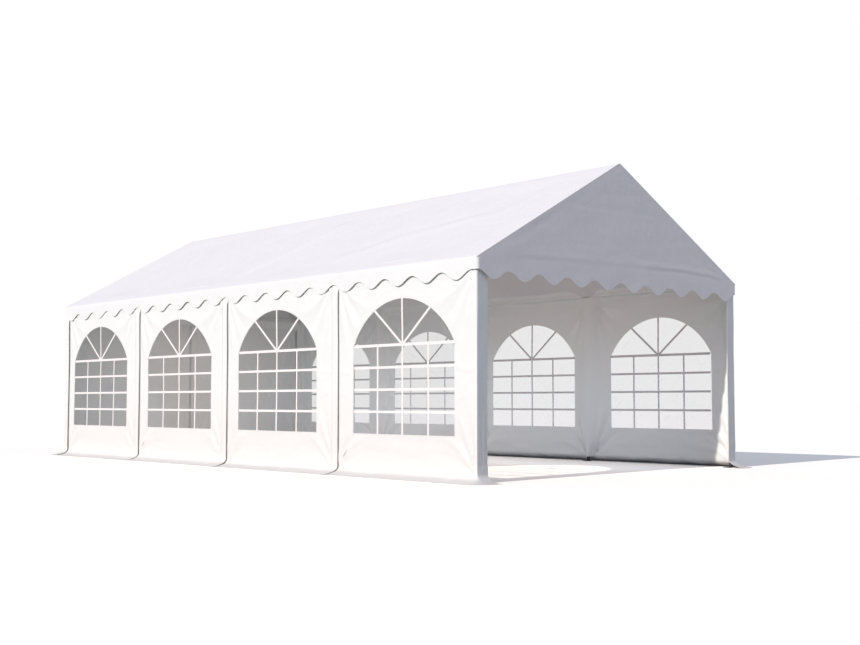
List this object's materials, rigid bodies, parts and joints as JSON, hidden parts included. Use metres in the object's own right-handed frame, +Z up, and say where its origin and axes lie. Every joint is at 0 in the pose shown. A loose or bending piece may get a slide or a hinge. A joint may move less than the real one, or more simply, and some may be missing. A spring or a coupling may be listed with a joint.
{
  "type": "marquee tent",
  "caption": "Long white marquee tent with a pitched roof, a scalloped valance, arched clear windows along both sides, a closed rear end and an open front.",
  "frame": {"origin": "on the ground at the middle of the tent's box, under the ridge and halfway along it", "axes": "+Z up, +Y along the tent from the open front towards the closed rear end, +X to the right seen from the front"},
  "size_m": [4.316, 8.376, 3.108],
  "materials": {
    "steel_tube": "galvanised",
    "wall_cloth": "white coated woven polyester, satin",
    "roof_cloth": "white coated woven polyester, satin",
    "window_film": "clear flexible film, slightly hazy"
  },
  "bodies": {
    "root": {"left_post_1": "steel_tube", "left_post_2": "steel_tube", "left_post_3": "steel_tube", "left_post_4": "steel_tube", "left_post_5": "steel_tube", "left_rafter_1": "steel_tube", "left_rafter_2": "steel_tube", "left_rafter_3": "steel_tube", "left_rafter_4": "steel_tube", "left_rafter_5": "steel_tube", "left_eave_rail": "steel_tube", "right_post_1": "steel_tube", "right_post_2": "steel_tube", "right_post_3": "steel_tube", "right_post_4": "steel_tube", "right_post_5": "steel_tube", "right_rafter_1": "steel_tube", "right_rafter_2": "steel_tube", "right_rafter_3": "steel_tube", "right_rafter_4": "steel_tube", "right_rafter_5": "steel_tube", "right_eave_rail": "steel_tube", "ridge_tube": "steel_tube", "rear_crossbar": "steel_tube", "left_wall_1": "wall_cloth", "left_wall_2": "wall_cloth", "left_wall_3": "wall_cloth", "left_wall_4": "wall_cloth", "right_wall_1": "wall_cloth", "right_wall_2": "wall_cloth", "right_wall_3": "wall_cloth", "right_wall_4": "wall_cloth", "rear_wall_left": "wall_cloth", "rear_wall_right": "wall_cloth", "left_window_1": "window_film", "left_window_2": "window_film", "left_window_3": "window_film", "left_window_4": "window_film", "right_window_1": "window_film", "right_window_2": "window_film", "right_window_3": "window_film", "right_window_4": "window_film", "roof_cover": "roof_cloth", "left_valance": "roof_cloth", "right_valance": "roof_cloth", "front_gable": "roof_cloth", "rear_gable": "roof_cloth"}
  },
  "joints": []
}
